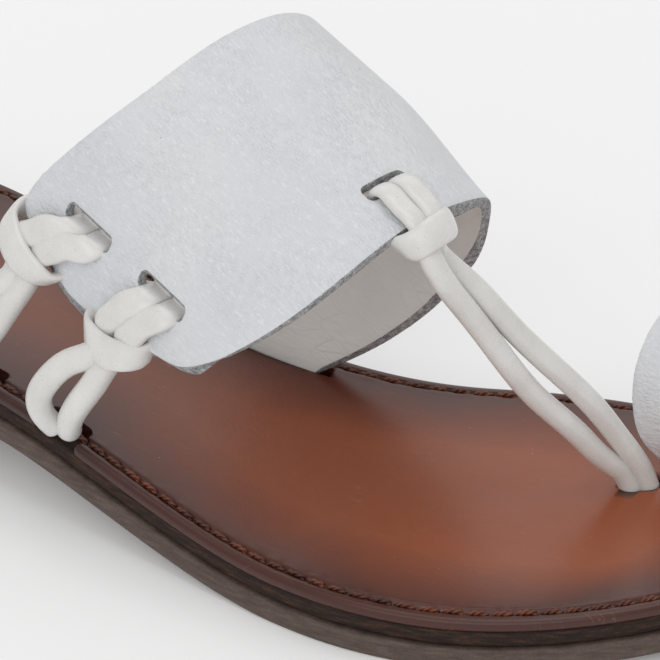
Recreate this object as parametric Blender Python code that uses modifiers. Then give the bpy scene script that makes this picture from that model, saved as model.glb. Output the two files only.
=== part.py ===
# Toe-ring slide sandal, right foot: a wide leather band over the instep, two cord ties, a cord
# strap to the toe post and a loop for the big toe, on a stitched flat leather sole.
# Metres, +Z up. Toe towards +X, the inner (medial) side of the foot towards +Y.
# Sizes below are in millimetres, measured from the back of the heel (x), the foot's long line (y)
# and the floor (z), and place() moves them to the part's own frame.
import math

import bmesh
import bpy
import numpy as np

MM = 0.001
LENGTH = 250.0
CENTRE_Y = 1.64
GAP = 0.3

# Sole
OUTSOLE_THICK = 4.4
MIDSOLE_THICK = 3.5
FOOTBED_THICK = 2.5
STACK = OUTSOLE_THICK + MIDSOLE_THICK + FOOTBED_THICK + 2 * GAP
HEEL_RISE = 12.0
HEEL_END = 72.0
BREAST_DEPTH = 3.0
ARCH_START = 85.0
ARCH_END = 170.0
TOE_SPRING = 3.4
SPRING_START = 195.0
SPRING_END = 260.0
DISH = 1.0
DISH_WIDTH = 26.0
CHANNEL_INSET = 2.1
CHANNEL_WIDTH = 1.6
CHANNEL_DEPTH = 0.7
OUTSOLE_STEP = 0.7
SPINE_HEEL = 27.0
SPINE_TOE = 222.0
STATIONS = 38

# Outline of the sole's edge: distance from the heel, inner side, outer side
OUTLINE = (
    # x, medial, lateral
    (20.0, 30.6, -26.4),
    (40.0, 34.0, -29.9),
    (60.0, 32.2, -30.3),
    (80.0, 27.2, -30.8),
    (100.0, 22.1, -32.6),
    (120.0, 20.2, -35.9),
    (140.0, 23.6, -39.3),
    (160.0, 30.7, -42.4),
    (180.0, 39.8, -43.8),
    (200.0, 46.0, -40.2),
    (215.0, 47.0, -33.6),
    (230.0, 43.2, -22.6),
    (242.0, 34.4, -8.6),
)
HEEL_TIP_Y = 2.0
TOE_TIP_Y = 15.0

# Band: a strip bent round an axis that falls towards the toe and turns towards the outer side.
# Its section is given across the axis: to the inner side (e) and up (n).
AXIS_SLOPE = math.radians(17.5)
AXIS_YAW = math.radians(14.0)
AXIS_X = 142.0
AXIS_Z = 14.0
WALL = 2.4
CROWN_E = 6.5
CROWN_N = 66.8
MEDIAL_BULGE_E = 34.6
MEDIAL_BULGE_N = 31.0
MEDIAL_POWER = 2.7
LATERAL_BULGE_E = -33.0
LATERAL_BULGE_N = 25.0
LATERAL_POWER = 2.2
MEDIAL_LEG = 38.0
LEG_POWER = 1.25
FOOT_INSET = 5.0
TONGUE = 2.3
LATERAL_TUCK = 1.0
LATERAL_TUCK_RUN = 16.0
BAND_ROWS = 3
BAND_COLUMNS = 9

# The strip laid flat: run along the strip from its widest inner point towards the outer side,
# and its front and back edges measured along the axis
STRIP = (
    # run, front, back
    (-MEDIAL_LEG - TONGUE, -5.8, -38.6),
    (-MEDIAL_LEG, -4.8, -38.0),
    (-30.0, 0.4, -37.8),
    (-17.0, 5.6, -37.6),
    (-5.0, 8.3, -37.4),
    (8.0, 10.7, -37.2),
    (20.0, 12.0, -37.2),
    (32.0, 15.9, -37.2),
    (42.0, 18.3, -37.6),
    (53.0, 18.1, -37.7),
    (64.0, 18.5, -37.2),
    (76.0, 18.6, -37.4),
    (87.4, 16.7, -39.8),
    (96.0, 13.3, -42.4),
    (102.5, 9.7, -44.6),
    (107.5, 6.2, -45.8),
    (111.5, 2.5, -45.2),
    (114.6, -2.4, -41.0),
    (117.0, -12.5, -36.0),
    (118.8, -20.0, -33.0),
    (120.0, -26.0, -29.5),
)
OUTER_END_ROW = 14

# Slots through the band, and the flattened cords that pass them
SIDE_SLOT_LENGTH = 12.2
FRONT_SLOT_LENGTH = 10.8
SLOT_WIDTH = 3.9
SIDE_SLOT_RUN = 102.0
FRONT_SLOT_ALONG = 6.2
FRONT_SLOT_RUN = 57.5
STRAND_HALF_WIDTH = 2.8
TOE_STRAND_HALF_WIDTH = 2.4
STRAND_HALF_THICK = 1.0
CORD_RADIUS = 2.45
TOE_CORD_RADIUS = 1.95
CLEAR = 0.3
COLLAR_REACH = 4.2
HOOK_REACH = 1.4
EDGE_STEP = 3.0
COLLAR_HALF = (6.3, 3.3, 3.9)
TOE_COLLAR_HALF = (5.8, 3.0, 3.6)
RING_POINTS = 8

# Where each tie crosses the band: place of its slot and of its collar along the axis
TIES = {
    # name: slot, collar
    "tie_front": (-9.4, -15.6),
    "tie_rear": (-30.3, -40.0),
}

# The ties' cords from the collar down to the sole's outer edge
TIE_CORDS = {
    # x, y, z
    "tie_front": (
        ((122.9, -31.5, 38.1), (117.9, -33.5, 34.9), (114.2, -35.0, 31.0),
         (111.9, -35.6, 25.7), (112.4, -34.8, 22.0), (113.2, -33.4, 19.2)),
        ((125.9, -31.3, 37.2), (123.8, -33.0, 33.1), (120.9, -34.3, 28.0),
         (118.0, -34.2, 22.5), (116.2, -33.0, 18.9)),
    ),
    "tie_rear": (
        ((100.1, -26.0, 44.5), (96.2, -28.5, 41.2), (93.6, -30.8, 38.0),
         (90.9, -32.0, 32.5), (90.0, -31.8, 27.2), (90.8, -30.6, 21.2)),
        ((102.9, -26.0, 44.2), (100.4, -28.0, 39.2), (97.9, -30.0, 34.1),
         (95.0, -31.0, 28.7), (93.6, -30.4, 21.2)),
    ),
}
NOTCH_HALF = 6.0
NOTCH_DEPTH = 8.5
NOTCHES = ((114.8, -35.2), (93.5, -32.0))

# The toe strap's cords from its collar to the post between the first two toes
TOE_CORDS = (
    # x, y, z
    ((182.1, -11.0, 67.4), (187.2, -5.0, 53.3), (192.6, 0.5, 41.2), (196.4, 5.0, 32.8),
     (202.0, 10.5, 24.1), (206.0, 15.0, 16.9), (208.4, 18.0, 12.8), (209.6, 18.8, 9.3)),
    ((180.1, -5.5, 65.0), (184.5, -2.5, 58.7), (191.8, 3.5, 47.0), (197.7, 8.5, 38.1),
     (203.5, 13.8, 28.9), (207.4, 17.6, 20.8), (211.0, 20.2, 13.4), (212.2, 20.9, 9.3)),
)
POST_X = 210.9
POST_Y = 19.8
POST_HALF = 4.3

# Toe loop, from its foot between the toes, over the big toe, to the sole's inner edge
TOE_LOOP = (
    # y, z, heel side x, toe side x
    (25.0, 10.2, 215.4, 224.0),
    (24.8, 13.0, 214.6, 224.2),
    (22.6, 18.0, 211.0, 225.0),
    (21.2, 25.6, 208.4, 225.6),
    (22.9, 32.6, 207.4, 225.4),
    (27.2, 38.2, 207.4, 225.0),
    (33.4, 40.6, 207.8, 224.6),
    (39.2, 37.8, 208.6, 224.4),
    (42.8, 31.6, 209.4, 224.0),
    (43.8, 23.4, 210.2, 223.4),
    (42.4, 15.4, 211.2, 222.6),
    (41.6, 12.4, 212.0, 222.0),
    (41.4, 10.0, 212.4, 221.8),
)
LOOP_WALL = 1.6
SLIT_CLEAR = 0.9


def place(x, y, z):
    return ((x - LENGTH / 2) * MM, (y - CENTRE_Y) * MM, z * MM)


def smooth(value):
    value = min(max(value, 0.0), 1.0)
    return value * value * (3 - 2 * value)


def rise(x):
    """Height of the sole's underside: the raised heel, the flat forefoot and the toe spring."""
    heel = HEEL_RISE * (1 - smooth((x - ARCH_START) / (ARCH_END - ARCH_START)))
    return heel + TOE_SPRING * smooth((x - SPRING_START) / (SPRING_END - SPRING_START))


def natural_spline(rows, steps):
    """A smooth curve through the rows, with the given number of steps between two rows."""
    rows = np.array(rows, float)
    count = len(rows)
    matrix = np.eye(count) * 4
    matrix[0, 0] = matrix[-1, -1] = 2
    matrix += np.eye(count, k=1) + np.eye(count, k=-1)
    right = np.zeros_like(rows)
    right[1:-1] = 3 * (rows[2:] - rows[:-2])
    right[0] = 3 * (rows[1] - rows[0])
    right[-1] = 3 * (rows[-1] - rows[-2])
    slope = np.linalg.solve(matrix, right)
    out = []
    for index in range(count - 1):
        for step in range(steps + (index == count - 2)):
            f = step / steps
            start = rows[index] * (1 - f) ** 2 * (1 + 2 * f) + slope[index] * f * (1 - f) ** 2
            end = rows[index + 1] * f * f * (3 - 2 * f) - slope[index + 1] * f * f * (1 - f)
            out.append(start + end)
    return np.array(out)


def ring_spline(knots, values, at):
    """A closed smooth curve over one turn, read at the given angles."""
    count = len(knots)
    turn = 2 * math.pi
    step = np.diff(np.append(knots, knots[0] + turn))
    matrix = np.zeros((count, count))
    right = np.zeros(count)
    for i in range(count):
        before, after = step[i - 1], step[i]
        matrix[i, i - 1] = before
        matrix[i, i] = 2 * (before + after)
        matrix[i, (i + 1) % count] = after
        right[i] = 6 * ((values[(i + 1) % count] - values[i]) / after
                        - (values[i] - values[i - 1]) / before)
    bend = np.linalg.solve(matrix, right)
    out = []
    for angle in np.mod(at, turn):
        i = int(np.searchsorted(knots, angle, side="right")) - 1
        low, high = knots[i], knots[i] + step[i]
        a, b = (high - angle) / step[i], (angle - low) / step[i]
        following = (i + 1) % count
        out.append(a * values[i] + b * values[following]
                   + ((a ** 3 - a) * bend[i] + (b ** 3 - b) * bend[following]) * step[i] ** 2 / 6)
    return np.array(out)


def outline(inset=0.0):
    """The sole's outline as one loop from the heel round the outer side, the toe and back."""
    def angle(x):
        return math.acos(1 - 2 * x / LENGTH)
    outer = [(angle(x), lateral) for x, medial, lateral in OUTLINE]
    inner = [(2 * math.pi - angle(x), medial) for x, medial, lateral in reversed(OUTLINE)]
    table = [(0.0, HEEL_TIP_Y)] + outer + [(math.pi, TOE_TIP_Y)] + inner
    angles = np.arange(2 * STATIONS) * math.pi / STATIONS
    knots = np.array([row[0] for row in table])
    values = np.array([row[1] for row in table])
    loop = np.column_stack([LENGTH / 2 * (1 - np.cos(angles)), ring_spline(knots, values, angles)])
    along = np.roll(loop, -1, axis=0) - np.roll(loop, 1, axis=0)
    along /= np.linalg.norm(along, axis=1)[:, None]
    inward = np.column_stack([-along[:, 1], along[:, 0]])
    return loop + inward * inset


def spine(loop):
    """The line inside the outline that the top and underside close onto."""
    partner = loop[(-np.arange(len(loop))) % len(loop)]
    x = np.clip((loop[:, 0] + partner[:, 0]) / 2, SPINE_HEEL, SPINE_TOE)
    order = np.argsort(loop[:STATIONS + 1, 0])
    sides = (loop[:STATIONS + 1][order], partner[:STATIONS + 1][order])
    y = sum(np.interp(x, side[:, 0], side[:, 1]) for side in sides) / 2
    return np.column_stack([x, y])


def medial_edge(x):
    loop = outline()[STATIONS:][::-1]
    return float(np.interp(x, loop[:, 0], loop[:, 1]))


def material(name, colour, roughness):
    made = bpy.data.materials.new(name)
    made.use_nodes = True
    shader = made.node_tree.nodes["Principled BSDF"]
    shader.inputs["Base Color"].default_value = (*colour, 1.0)
    shader.inputs["Roughness"].default_value = roughness
    shader.inputs["Metallic"].default_value = 0.0
    made.diffuse_color = (*colour, 1.0)
    return made


def make_object(name, bm, group, mat=None):
    bm.normal_update()
    bmesh.ops.recalc_face_normals(bm, faces=bm.faces)
    mesh = bpy.data.meshes.new(name)
    bm.to_mesh(mesh)
    bm.free()
    made = bpy.data.objects.new(name, mesh)
    group.objects.link(made)
    if mat:
        mesh.materials.append(mat)
    mesh.shade_smooth()
    mesh.set_sharp_from_angle(angle=math.radians(35))
    return made


def skin(loops, closed=True, caps=False):
    """Quads between rows of points; caps close the first and last rows."""
    bm = bmesh.new()
    rows = [[bm.verts.new(place(*point)) for point in loop] for loop in loops]
    for low, high in zip(rows, rows[1:]):
        for i in range(len(low) - (not closed)):
            j = (i + 1) % len(low)
            bm.faces.new((low[i], low[j], high[j], high[i]))
    if caps:
        bm.faces.new(rows[0])
        bm.faces.new(rows[-1])
    return bm


def sole_layer(name, bottom, top, inset, top_rings, group, mat):
    """A sheet of the sole between two heights over its underside, with a shaped top."""
    edge = outline(inset)
    centre = spine(edge)

    def at_height(plan, height, lowered=0.0):
        return [(x, y, rise(x) + height - lowered) for x, y in plan]
    loops = []
    for share in (1.0, 0.5):
        loops.append(at_height(edge + (centre - edge) * share, bottom))
    loops.append(at_height(edge, bottom))
    loops.append(at_height(edge, top))
    for inward, lowered in top_rings:
        loops.append(at_height(outline(inset + inward), top, lowered))
    last_inward = top_rings[-1][0] if top_rings else 0.0
    inner = outline(inset + last_inward)
    for share in (0.25, 0.5, 0.75, 1.0):
        plan = inner + (centre - inner) * share
        width = np.linalg.norm(plan - edge, axis=1)
        lowered = DISH * np.array([smooth(w / DISH_WIDTH) for w in width]) if top_rings else np.zeros(len(plan))
        loops.append([(x, y, rise(x) + top - low) for (x, y), low in zip(plan, lowered)])
    bm = skin(loops)
    bmesh.ops.remove_doubles(bm, verts=bm.verts, dist=0.02 * MM)
    bmesh.ops.dissolve_degenerate(bm, dist=0.02 * MM, edges=bm.edges)
    return make_object(name, bm, group, mat)


def make_heel(group, mat):
    loop = outline(0.6)
    back = [tuple(p) for p in np.roll(loop, STATIONS, axis=0) if p[0] < HEEL_END]
    breast = []
    for share in (0.0, 0.15, 0.3, 0.5, 0.7, 0.85, 1.0):
        y = back[-1][1] + (back[0][1] - back[-1][1]) * share
        breast.append((HEEL_END + 2.0 - BREAST_DEPTH * (1 - (2 * share - 1) ** 2), y))
    plan = back + breast
    low = [(x, y, 0.0) for x, y in plan]
    high = [(x, y, HEEL_RISE - GAP) for x, y in plan]
    return make_object("heel", skin([low, high], caps=True), group, mat)


def arch_profile():
    """The band's cross-section over its two shoulders and down its outer side."""
    points = []
    turns = np.linspace(0, math.pi / 2, 120)
    for a in turns:
        power = 2 / MEDIAL_POWER
        points.append((CROWN_E + (MEDIAL_BULGE_E - CROWN_E) * math.cos(a) ** power,
                       MEDIAL_BULGE_N + (CROWN_N - MEDIAL_BULGE_N) * math.sin(a) ** power))
    for a in turns[::-1][1:]:
        power = 2 / LATERAL_POWER
        points.append((CROWN_E + (LATERAL_BULGE_E - CROWN_E) * math.cos(a) ** power,
                       LATERAL_BULGE_N + (CROWN_N - LATERAL_BULGE_N) * math.sin(a) ** power))
    for drop in range(1, 31):
        points.append((LATERAL_BULGE_E + LATERAL_TUCK * (drop / LATERAL_TUCK_RUN) ** 2, LATERAL_BULGE_N - drop))
    points = np.array(points)
    length = np.r_[0, np.cumsum(np.linalg.norm(np.diff(points, axis=0), axis=1))]
    return length, points


ARCH_LENGTH, ARCH_POINTS = arch_profile()
AXIS_START = np.array([AXIS_X, 0.0, AXIS_Z])
AXIS_FORWARD = np.array([math.cos(AXIS_SLOPE) * math.cos(AXIS_YAW),
                         -math.cos(AXIS_SLOPE) * math.sin(AXIS_YAW), -math.sin(AXIS_SLOPE)])
AXIS_SIDE = np.array([math.sin(AXIS_YAW), math.cos(AXIS_YAW), 0.0])
AXIS_UP = np.array([math.sin(AXIS_SLOPE) * math.cos(AXIS_YAW),
                    -math.sin(AXIS_SLOPE) * math.sin(AXIS_YAW), math.cos(AXIS_SLOPE)])


def from_axis(along, e, n):
    return AXIS_START + AXIS_FORWARD * along + AXIS_SIDE * e + AXIS_UP * n


def band_foot(along):
    """Where the band's inner end stands on the footbed, for one place along the axis."""
    e, n = 0.0, 0.0
    for _ in range(12):
        x, y, z = from_axis(along, e, n)
        n += (rise(x) + STACK - z) / AXIS_UP[2]
        e += (medial_edge(x) - FOOT_INSET - y) / AXIS_SIDE[1]
    return e, n


def band_point(run, along):
    """A point on the band's outer surface."""
    if run >= 0:
        e = np.interp(run, ARCH_LENGTH, ARCH_POINTS[:, 0])
        n = np.interp(run, ARCH_LENGTH, ARCH_POINTS[:, 1])
        return from_axis(along, e, n)
    foot_e, foot_n = band_foot(along)
    share = 1 + run / MEDIAL_LEG
    if share < 0:
        return from_axis(along, foot_e, foot_n + share * MEDIAL_LEG)
    e = foot_e + (MEDIAL_BULGE_E - foot_e) * math.sin(math.pi / 2 * share ** LEG_POWER)
    return from_axis(along, e, foot_n + (MEDIAL_BULGE_N - foot_n) * share)


def band_normal(run, along):
    step = 0.5
    down = band_point(run + step, along) - band_point(run - step, along)
    forward = band_point(run, along + step) - band_point(run, along - step)
    out = np.cross(down, forward)
    return out / np.linalg.norm(out)


def lifted(run, along, lift):
    return band_point(run, along) + band_normal(run, along) * lift


def outer_end(along):
    """How far the strip reaches at one place along the axis, at its rounded outer end."""
    rows = natural_spline(STRIP, 6)[OUTER_END_ROW * 6:]
    if along > rows[-1][1]:
        return float(np.interp(-along, -rows[:, 1], rows[:, 0]))
    return float(np.interp(along, rows[:, 2], rows[:, 0]))


def cutter_box(name, centre, axes, halves, group):
    bm = bmesh.new()
    bmesh.ops.create_cube(bm, size=2.0)
    for vert in bm.verts:
        local = sum((np.array(axis) * half * part for axis, half, part in zip(axes, halves, vert.co)),
                    np.zeros(3))
        vert.co = place(*(np.array(centre) + local))
    made = make_object(name, bm, group)
    hide(made)
    return made


def hide(made):
    made.hide_render = True
    made.display_type = "WIRE"


def boolean(target, other, operation):
    modifier = target.modifiers.new(other.name, "BOOLEAN")
    modifier.operation = operation
    modifier.solver = "EXACT"
    modifier.object = other


def band_slot(name, run, along, halves, group):
    """A box through the band's wall, lined up with the strip."""
    normal = band_normal(run, along)
    forward = band_point(run, along + 1) - band_point(run, along)
    down = np.cross(forward, normal)
    return cutter_box(name, band_point(run, along), (down, forward, normal), halves, group)


def make_band(group, cutters, mat):
    rows = natural_spline(STRIP, BAND_ROWS)
    loops = []
    for run, front, back in rows:
        loops.append([band_point(run, front + (back - front) * c / BAND_COLUMNS)
                      for c in range(BAND_COLUMNS + 1)])
    bm = skin(loops, closed=False)
    band = make_object("band", bm, group, mat)
    if band.data.polygons[len(band.data.polygons) // 2].normal.z < 0:
        band.data.flip_normals()
    shell = band.modifiers.new("wall", "SOLIDIFY")
    shell.thickness = WALL * MM
    shell.offset = -1.0
    shell.use_even_offset = True
    for name, (slot, collar) in TIES.items():
        cut = band_slot("slot_" + name, SIDE_SLOT_RUN + SLOT_WIDTH / 2, slot,
                        (SLOT_WIDTH / 2, SIDE_SLOT_LENGTH / 2, 3 * WALL), cutters)
        boolean(band, cut, "DIFFERENCE")
    cut = band_slot("slot_front", FRONT_SLOT_RUN, FRONT_SLOT_ALONG + SLOT_WIDTH / 2,
                    (FRONT_SLOT_LENGTH / 2, SLOT_WIDTH / 2, 3 * WALL), cutters)
    boolean(band, cut, "DIFFERENCE")
    return band


def sweep(points, width_hint, half_widths, half_thicks, steps=2):
    """A closed tube with an oval section along a smooth path."""
    rows = [(*point, wide, thick) for point, wide, thick in zip(points, half_widths, half_thicks)]
    rows = natural_spline(rows, steps)
    centres = rows[:, :3]
    along = np.gradient(centres, axis=0)
    along /= np.linalg.norm(along, axis=1)[:, None]
    loops = []
    for centre, tangent, (wide, thick) in zip(centres, along, rows[:, 3:]):
        side = np.array(width_hint) - tangent * np.dot(width_hint, tangent)
        side /= np.linalg.norm(side)
        up = np.cross(tangent, side)
        turns = [2 * math.pi * (k + 0.5) / RING_POINTS for k in range(RING_POINTS)]
        loops.append([centre + side * wide * math.cos(a) + up * thick * math.sin(a) for a in turns])
    return skin(loops, caps=True)


def hook(surface, edge):
    """A flattened cord's way from the band's edge up inside, out through the slot and back.

    surface(progress, lift) reads the band from the slot's near side to its edge."""
    inside = -(WALL + CLEAR + STRAND_HALF_THICK)
    outside = CLEAR + STRAND_HALF_THICK
    middle = (inside + outside) / 2
    radius = (outside - inside) / 2
    points = [surface(edge + HOOK_REACH, inside)]
    points += [surface(edge * share, inside) for share in (0.75, 0.35)]
    for turn in (-90, -45, 0, 45, 90):
        a = math.radians(turn)
        points.append(surface(-radius * math.cos(a), middle + radius * math.sin(a)))
    points += [surface(edge * share, outside) for share in (0.35, 0.75)]
    points.append(surface(edge + HOOK_REACH, outside))
    return points


def bead(name, centre, axes, halves, group, mat):
    bm = bmesh.new()
    bmesh.ops.create_uvsphere(bm, u_segments=16, v_segments=10, radius=1.0)
    for vert in bm.verts:
        local = sum((axis * half * part for axis, half, part in zip(axes, halves, vert.co)), np.zeros(3))
        vert.co = place(*(centre + local))
    return make_object(name, bm, group, mat)


def make_lace(name, surface, edge, edge_line, collar_halves, half_width, cords, radius, group, cutters, mat):
    """Two cords looped through a slot: a collar at the band's edge and two free cords."""
    across = edge_line(EDGE_STEP) - edge_line(-EDGE_STEP)
    across /= np.linalg.norm(across)
    slot_line = surface(1.0, 0.0, 0.0) - surface(-1.0, 0.0, 0.0)
    normal = surface(0.0, edge, 1.0) - surface(0.0, edge, 0.0)
    beyond = np.cross(across, normal)
    beyond *= math.copysign(1.0, np.dot(beyond, surface(0.0, edge, 0.0) - surface(0.0, 0.0, 0.0)))
    centre = edge_line(0.0) - normal * WALL / 2 + beyond * COLLAR_REACH
    lace = bead(name, centre, (across, beyond, normal), collar_halves, group, mat)
    for index, (side, cord) in enumerate(zip((-1, 1), cords)):
        offset = side * half_width * 0.97
        anchor = centre + across * offset
        path = [anchor] + hook(lambda progress, lift: surface(offset, progress, lift), edge) + [anchor]
        wide = [half_width] * len(path)
        thick = [STRAND_HALF_THICK] * len(path)
        parts = {"strand": sweep(path, slot_line, wide, thick, steps=1)}
        way = [anchor] + [np.array(point) for point in cord]
        parts["cord"] = sweep(way, across, [radius] * len(way), [radius] * len(way), steps=3)
        for kind, bm in parts.items():
            tube = make_object(f"{name}_{kind}_{index}", bm, cutters)
            hide(tube)
            boolean(lace, tube, "UNION")
    return lace


def make_tie(name, group, cutters, mat):
    slot, collar = TIES[name]
    near_side = SIDE_SLOT_RUN + SLOT_WIDTH
    edge = outer_end(collar) - near_side

    def surface(offset, progress, lift):
        along = slot + (collar - slot) * min(max(progress / edge, 0.0), 1.2)
        return lifted(near_side + progress, along + offset, lift)

    def edge_line(offset):
        return band_point(outer_end(collar + offset), collar + offset)
    return make_lace(name, surface, edge, edge_line, COLLAR_HALF, STRAND_HALF_WIDTH, TIE_CORDS[name],
                     CORD_RADIUS, group, cutters, mat)


def make_toe_strap(group, cutters, mat):
    near_side = FRONT_SLOT_ALONG + SLOT_WIDTH
    rows = natural_spline(STRIP, 6)

    def front_edge(run):
        return float(np.interp(run, rows[:, 0], rows[:, 1]))

    def surface(offset, progress, lift):
        return lifted(FRONT_SLOT_RUN - offset, near_side + progress, lift)

    def edge_line(offset):
        return band_point(FRONT_SLOT_RUN - offset, front_edge(FRONT_SLOT_RUN - offset))
    return make_lace("toe_strap", surface, front_edge(FRONT_SLOT_RUN) - near_side, edge_line,
                     TOE_COLLAR_HALF, TOE_STRAND_HALF_WIDTH, TOE_CORDS, TOE_CORD_RADIUS, group, cutters, mat)


def make_toe_loop(group, mat):
    rows = natural_spline(TOE_LOOP, 2)
    loops = []
    columns = 6
    for y, z, heel_side, toe_side in rows:
        loops.append([(heel_side + (toe_side - heel_side) * c / columns, y, z) for c in range(columns + 1)])
    loop = make_object("toe_loop", skin(loops, closed=False), group, mat)
    shell = loop.modifiers.new("wall", "SOLIDIFY")
    shell.thickness = LOOP_WALL * MM
    shell.offset = 0.0
    shell.use_even_offset = True
    return loop


def slit(name, line, half_width, group):
    """A slit through the footbed along a line of (x, y) points."""
    line = np.array(line, float)
    along = np.gradient(line, axis=0)
    along /= np.linalg.norm(along, axis=1)[:, None]
    side = np.column_stack([-along[:, 1], along[:, 0]]) * half_width
    plan = np.vstack([line + side, (line - side)[::-1]])
    low = [(x, y, rise(x) + STACK - 2 * FOOTBED_THICK) for x, y in plan]
    high = [(x, y, rise(x) + STACK + 2 * FOOTBED_THICK) for x, y in plan]
    made = make_object(name, skin([low, high], caps=True), group)
    hide(made)
    return made


def cut_footbed(footbed, cutters):
    foot = []
    for along in np.linspace(STRIP[0][1] + 2.6, STRIP[0][2] - 1.6, 12):
        foot_e, foot_n = band_foot(along)
        x, y, z = from_axis(along, foot_e, foot_n - TONGUE / 2)
        foot.append((x, y - WALL / 2))
    boolean(footbed, slit("slit_band", foot, WALL / 2 + SLIT_CLEAR, cutters), "DIFFERENCE")
    for index, (x, y) in enumerate(NOTCHES):
        centre = (x, y, rise(x) + STACK)
        axes = ((1, 0, 0), (0, 1, 0), (0, 0, 1))
        cut = cutter_box(f"notch_{index}", centre, axes, (NOTCH_HALF, NOTCH_DEPTH, 3 * FOOTBED_THICK), cutters)
        boolean(footbed, cut, "DIFFERENCE")
    line = [(POST_X - POST_HALF, POST_Y - 1.6), (POST_X + POST_HALF, POST_Y + 1.6)]
    boolean(footbed, slit("hole_post", line, TOE_CORD_RADIUS + SLIT_CLEAR, cutters), "DIFFERENCE")
    for index, row in enumerate((TOE_LOOP[0], TOE_LOOP[-1])):
        line = [(row[2] - SLIT_CLEAR, row[0]), (row[3] + SLIT_CLEAR, row[0])]
        cut = slit(f"slit_loop_{index}", line, LOOP_WALL / 2 + SLIT_CLEAR, cutters)
        boolean(footbed, cut, "DIFFERENCE")


def main():
    for old in list(bpy.data.objects):
        bpy.data.objects.remove(old, do_unlink=True)
    sandal = bpy.data.collections.new("toe_ring_slide_sandal")
    cutters = bpy.data.collections.new("cutters")
    bpy.context.scene.collection.children.link(sandal)
    bpy.context.scene.collection.children.link(cutters)

    white = material("white_leather", (0.80, 0.80, 0.79), 0.45)
    cord = material("white_cord_leather", (0.82, 0.81, 0.78), 0.4)
    brown = material("brown_leather", (0.22, 0.09, 0.05), 0.3)
    dark = material("dark_board", (0.045, 0.025, 0.02), 0.7)
    edge = material("outsole_leather", (0.12, 0.075, 0.055), 0.65)

    midsole_low = OUTSOLE_THICK + GAP
    footbed_low = midsole_low + MIDSOLE_THICK + GAP
    sole_layer("outsole", 0.0, OUTSOLE_THICK, 0.0, (), sandal, edge)
    sole_layer("midsole", midsole_low, midsole_low + MIDSOLE_THICK, OUTSOLE_STEP, (), sandal, dark)
    channel = (
        # inward, lowered
        (CHANNEL_INSET, 0.0),
        (CHANNEL_INSET + CHANNEL_WIDTH / 2, CHANNEL_DEPTH),
        (CHANNEL_INSET + CHANNEL_WIDTH, 0.0),
    )
    footbed = sole_layer("footbed", footbed_low, STACK, 0.0, channel, sandal, brown)
    make_heel(sandal, dark)
    make_band(sandal, cutters, white)
    for name in TIES:
        make_tie(name, sandal, cutters, cord)
    make_toe_strap(sandal, cutters, cord)
    make_toe_loop(sandal, white)
    cut_footbed(footbed, cutters)


main()
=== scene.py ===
# Toe-ring slide sandal, right foot, on a pale floor in soft studio light.
# Sizes are in millimetres from the back of the heel (x), the foot's long line (y, inner side
# positive) and the floor (z). to_part() moves them to the part's frame, in metres.
import math

import bmesh
import bpy
import numpy as np
from mathutils import Matrix, Vector
from mathutils.geometry import delaunay_2d_cdt


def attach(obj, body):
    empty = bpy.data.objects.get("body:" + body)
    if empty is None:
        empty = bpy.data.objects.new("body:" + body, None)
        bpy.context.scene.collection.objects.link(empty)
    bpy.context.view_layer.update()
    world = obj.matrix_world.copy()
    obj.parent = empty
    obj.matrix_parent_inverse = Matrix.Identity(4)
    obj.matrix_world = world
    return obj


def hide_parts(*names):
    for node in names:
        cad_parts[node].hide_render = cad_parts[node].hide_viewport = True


scene = bpy.context.scene
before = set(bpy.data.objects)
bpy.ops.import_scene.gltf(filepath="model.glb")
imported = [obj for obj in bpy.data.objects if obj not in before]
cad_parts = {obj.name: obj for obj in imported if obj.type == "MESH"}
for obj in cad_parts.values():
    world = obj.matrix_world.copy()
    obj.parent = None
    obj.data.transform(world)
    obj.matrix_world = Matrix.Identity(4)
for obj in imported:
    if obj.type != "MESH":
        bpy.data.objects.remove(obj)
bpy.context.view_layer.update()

MM = 0.001
LENGTH = 250.0
CENTRE_Y = 1.64
RNG = np.random.default_rng(7)

# Camera, as the photograph was taken
CAMERA_AT = (588.178, -688.096, 524.140)
CAMERA_RIGHT = (0.845821, 0.533467, 0.0)
CAMERA_UP = (-0.274277, 0.434871, 0.857706)
CAMERA_BACK = (0.457558, -0.725466, 0.514140)
LENS = 274.85

# Sole
OUTSOLE_THICK = 4.4
MIDSOLE_LOW = 4.7
MIDSOLE_TOP = 8.2
FOOTBED_LOW = 8.5
STACK = 11.0
HEEL_RISE = 12.0
HEEL_END = 72.0
BREAST_DEPTH = 3.0
ARCH_START = 85.0
ARCH_END = 170.0
TOE_SPRING = 3.4
SPRING_START = 195.0
SPRING_END = 260.0
DISH = 1.0
DISH_WIDTH = 26.0
SPINE_HEEL = 27.0
SPINE_TOE = 222.0
OUTLINE = np.array((
    # x, medial, lateral
    (20.0, 30.6, -26.4),
    (40.0, 34.0, -29.9),
    (60.0, 32.2, -30.3),
    (80.0, 27.2, -30.8),
    (100.0, 22.1, -32.6),
    (120.0, 20.2, -35.9),
    (140.0, 23.6, -39.3),
    (160.0, 30.7, -42.4),
    (180.0, 39.8, -43.8),
    (200.0, 46.0, -40.2),
    (215.0, 47.0, -33.6),
    (230.0, 43.2, -22.6),
    (242.0, 34.4, -8.6),
))
HEEL_TIP_Y = 2.0
TOE_TIP_Y = 15.0

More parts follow.
